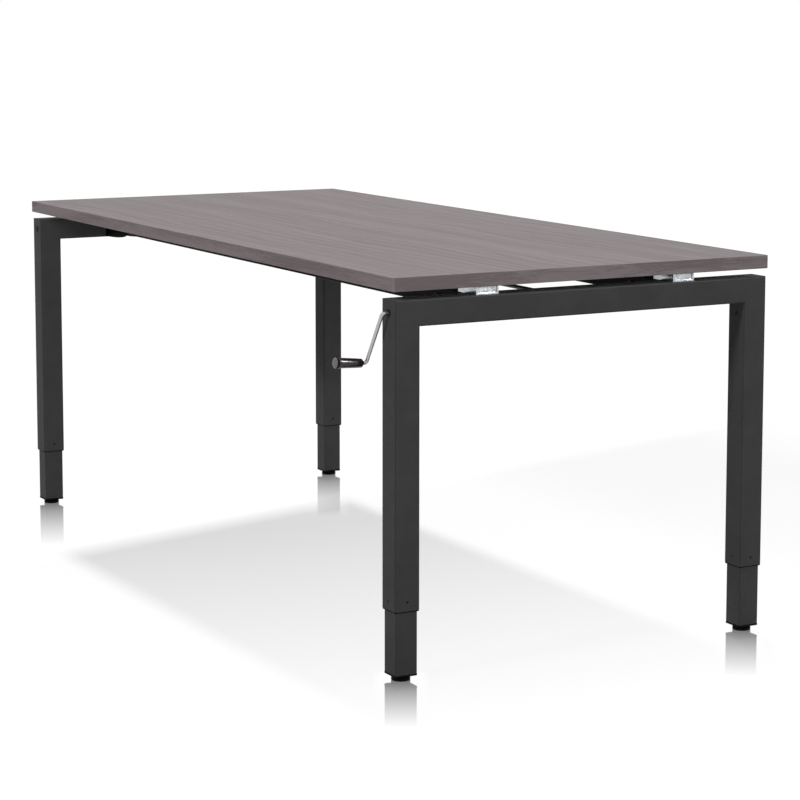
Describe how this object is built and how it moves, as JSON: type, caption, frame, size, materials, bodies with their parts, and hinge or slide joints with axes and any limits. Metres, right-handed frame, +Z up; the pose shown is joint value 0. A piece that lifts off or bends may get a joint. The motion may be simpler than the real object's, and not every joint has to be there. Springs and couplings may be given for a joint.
{
  "type": "height-adjustable desk",
  "caption": "Desk with a grey wood-grain top on black telescopic portal legs; a removable hand crank drives spindles in the legs to raise and lower it.",
  "frame": {"origin": "on the floor, under the centre of the whole object's box, crank included", "axes": "+X along the desk's length towards the crank side's right-hand end as its user sees it, +Y away from the user, +Z up"},
  "size_m": [1.8, 0.8824, 0.722],
  "materials": {
    "black_powder_coat": "fine satin black powder coat",
    "laminate": "melamine laminate in taupe-grey wood grain on chipboard",
    "edge_band": "edge band in the same grey wood grain",
    "galvanised": "galvanised sheet steel with spangle",
    "zinc_screws": "zinc-plated",
    "black_screws": "blackened",
    "black_plastic": "moulded, fine texture",
    "foot_plastic": "moulded, fine texture",
    "white_plastic": "machined acetal",
    "steel": "bright turned steel, lightly oiled",
    "dark_steel": "blackened steel bar",
    "chrome": "bright plated rod",
    "grip_plastic": "glossy moulded grip",
    "cap_plastic": "dark grey moulded cap"
  },
  "bodies": {
    "frame": {"tabletop": "laminate", "edge_band": "edge_band", "crossbar_right": "black_powder_coat", "crossbar_left": "black_powder_coat", "outer_leg_fr": "black_powder_coat", "outer_leg_br": "black_powder_coat", "outer_leg_fl": "black_powder_coat", "outer_leg_bl": "black_powder_coat", "front_rail": "black_powder_coat", "back_rail": "black_powder_coat", "top_brackets": "galvanised", "rail_hangers": "black_powder_coat", "tabletop_screws": "zinc_screws", "bracket_screws": "zinc_screws", "hanger_bolts": "black_screws", "guide_collars": "black_plastic", "guide_screws": "black_screws", "spindle_bearings": "white_plastic", "bearing_screws": "black_screws", "shaft_bearings": "white_plastic", "crank_bush": "black_plastic", "hole_plug": "black_plastic", "long_shaft_bushes": "black_plastic"},
    "drive_right": {"cross_shaft_right": "steel", "cross_gears_right": "steel"},
    "drive_left": {"cross_shaft_left": "steel", "cross_gears_left": "steel"},
    "drive_long": {"long_shaft": "dark_steel", "long_shaft_gears": "steel"},
    "crank": {"crank_rod": "chrome"},
    "grip": {"crank_grip": "grip_plastic", "grip_cap": "cap_plastic"},
    "spindle_fr": {"spindle_fr": "steel", "spindle_gear_fr": "steel"},
    "leg_fr": {"inner_leg_fr": "black_powder_coat", "spindle_nut_fr": "white_plastic", "end_cap_fr": "black_plastic"},
    "foot_fr": {"foot_plate_fr": "foot_plastic"},
    "stud_fr": {"foot_stud_fr": "steel"},
    "spindle_br": {"spindle_br": "steel", "spindle_gear_br": "steel"},
    "leg_br": {"inner_leg_br": "black_powder_coat", "spindle_nut_br": "white_plastic", "end_cap_br": "black_plastic"},
    "foot_br": {"foot_plate_br": "foot_plastic"},
    "stud_br": {"foot_stud_br": "steel"},
    "spindle_fl": {"spindle_fl": "steel", "spindle_gear_fl": "steel"},
    "leg_fl": {"inner_leg_fl": "black_powder_coat", "spindle_nut_fl": "white_plastic", "end_cap_fl": "black_plastic"},
    "foot_fl": {"foot_plate_fl": "foot_plastic"},
    "stud_fl": {"foot_stud_fl": "steel"},
    "spindle_bl": {"spindle_bl": "steel", "spindle_gear_bl": "steel"},
    "leg_bl": {"inner_leg_bl": "black_powder_coat", "spindle_nut_bl": "white_plastic", "end_cap_bl": "black_plastic"},
    "foot_bl": {"foot_plate_bl": "foot_plastic"},
    "stud_bl": {"foot_stud_bl": "steel"}
  },
  "joints": [
    {"name": "crank_turn", "type": "hinge", "parent": "frame", "child": "drive_right", "pos_m": [0.874, 0.04118, 0.658], "axis": [0, 1, 0], "range_deg": [-9001, 12421]},
    {"name": "left_shaft_turn", "type": "hinge", "parent": "frame", "child": "drive_left", "pos_m": [-0.874, 0.04118, 0.658], "axis": [0, 1, 0], "range_deg": [-9001, 12421]},
    {"name": "long_shaft_turn", "type": "hinge", "parent": "frame", "child": "drive_long", "pos_m": [0, 0.04118, 0.658], "axis": [1, 0, 0], "range_deg": [-12421, 9001]},
    {"name": "crank_pull", "type": "slide", "parent": "drive_right", "child": "crank", "axis": [0, -1, 0], "range_m": [0, 0.025]},
    {"name": "grip_spin", "type": "hinge", "parent": "crank", "child": "grip", "pos_m": [0.83089, -0.37682, 0.56556], "axis": [0.0368, -0.9962, 0.079], "continuous": true},
    {"name": "spindle_turn_fr", "type": "hinge", "parent": "frame", "child": "spindle_fr", "pos_m": [0.874, -0.33082, 0.658], "axis": [0, 0, 1], "range_deg": [-9001, 12421]},
    {"name": "leg_slide_fr", "type": "slide", "parent": "frame", "child": "leg_fr", "axis": [0, 0, -1], "range_m": [-0.1, 0.138]},
    {"name": "foot_slide_fr", "type": "slide", "parent": "leg_fr", "child": "foot_fr", "axis": [0, 0, -1], "range_m": [0, 0.015]},
    {"name": "foot_turn_fr", "type": "hinge", "parent": "foot_fr", "child": "stud_fr", "pos_m": [0.874, -0.33082, 0.02], "axis": [0, 0, 1], "range_deg": [-1, 3601]},
    {"name": "spindle_turn_br", "type": "hinge", "parent": "frame", "child": "spindle_br", "pos_m": [0.874, 0.41318, 0.658], "axis": [0, 0, 1], "range_deg": [-9001, 12421]},
    {"name": "leg_slide_br", "type": "slide", "parent": "frame", "child": "leg_br", "axis": [0, 0, -1], "range_m": [-0.1001, 0.1381]},
    {"name": "foot_slide_br", "type": "slide", "parent": "leg_br", "child": "foot_br", "axis": [0, 0, -1], "range_m": [0, 0.015]},
    {"name": "foot_turn_br", "type": "hinge", "parent": "foot_br", "child": "stud_br", "pos_m": [0.874, 0.41318, 0.02], "axis": [0, 0, 1], "range_deg": [-1, 3601]},
    {"name": "spindle_turn_fl", "type": "hinge", "parent": "frame", "child": "spindle_fl", "pos_m": [-0.874, -0.33082, 0.658], "axis": [0, 0, 1], "range_deg": [-9001, 12421]},
    {"name": "leg_slide_fl", "type": "slide", "parent": "frame", "child": "leg_fl", "axis": [0, 0, -1], "range_m": [-0.1001, 0.1381]},
    {"name": "foot_slide_fl", "type": "slide", "parent": "leg_fl", "child": "foot_fl", "axis": [0, 0, -1], "range_m": [0, 0.015]},
    {"name": "foot_turn_fl", "type": "hinge", "parent": "foot_fl", "child": "stud_fl", "pos_m": [-0.874, -0.33082, 0.02], "axis": [0, 0, 1], "range_deg": [-1, 3601]},
    {"name": "spindle_turn_bl", "type": "hinge", "parent": "frame", "child": "spindle_bl", "pos_m": [-0.874, 0.41318, 0.658], "axis": [0, 0, 1], "range_deg": [-9001, 12421]},
    {"name": "leg_slide_bl", "type": "slide", "parent": "frame", "child": "leg_bl", "axis": [0, 0, -1], "range_m": [-0.1001, 0.1381]},
    {"name": "foot_slide_bl", "type": "slide", "parent": "leg_bl", "child": "foot_bl", "axis": [0, 0, -1], "range_m": [0, 0.015]},
    {"name": "foot_turn_bl", "type": "hinge", "parent": "foot_bl", "child": "stud_bl", "pos_m": [-0.874, 0.41318, 0.02], "axis": [0, 0, 1], "range_deg": [-1, 3601]}
  ],
  "couplings": [
    {"joint": "crank_turn", "follows": "leg_slide_fr", "rad_per_m": 1570.8},
    {"joint": "left_shaft_turn", "follows": "leg_slide_fr", "rad_per_m": 1570.8},
    {"joint": "long_shaft_turn", "follows": "leg_slide_fr", "rad_per_m": -1570.8},
    {"joint": "spindle_turn_fr", "follows": "leg_slide_fr", "rad_per_m": 1570.8},
    {"joint": "foot_turn_fr", "follows": "foot_slide_fr", "rad_per_m": 4188.8},
    {"joint": "spindle_turn_br", "follows": "leg_slide_fr", "rad_per_m": 1570.8},
    {"joint": "foot_turn_br", "follows": "foot_slide_br", "rad_per_m": 4188.8},
    {"joint": "leg_slide_br", "follows": "leg_slide_fr", "ratio": 1},
    {"joint": "spindle_turn_fl", "follows": "leg_slide_fr", "rad_per_m": 1570.8},
    {"joint": "foot_turn_fl", "follows": "foot_slide_fl", "rad_per_m": 4188.8},
    {"joint": "leg_slide_fl", "follows": "leg_slide_fr", "ratio": 1},
    {"joint": "spindle_turn_bl", "follows": "leg_slide_fr", "rad_per_m": 1570.8},
    {"joint": "foot_turn_bl", "follows": "foot_slide_bl", "rad_per_m": 4188.8},
    {"joint": "leg_slide_bl", "follows": "leg_slide_fr", "ratio": 1}
  ]
}
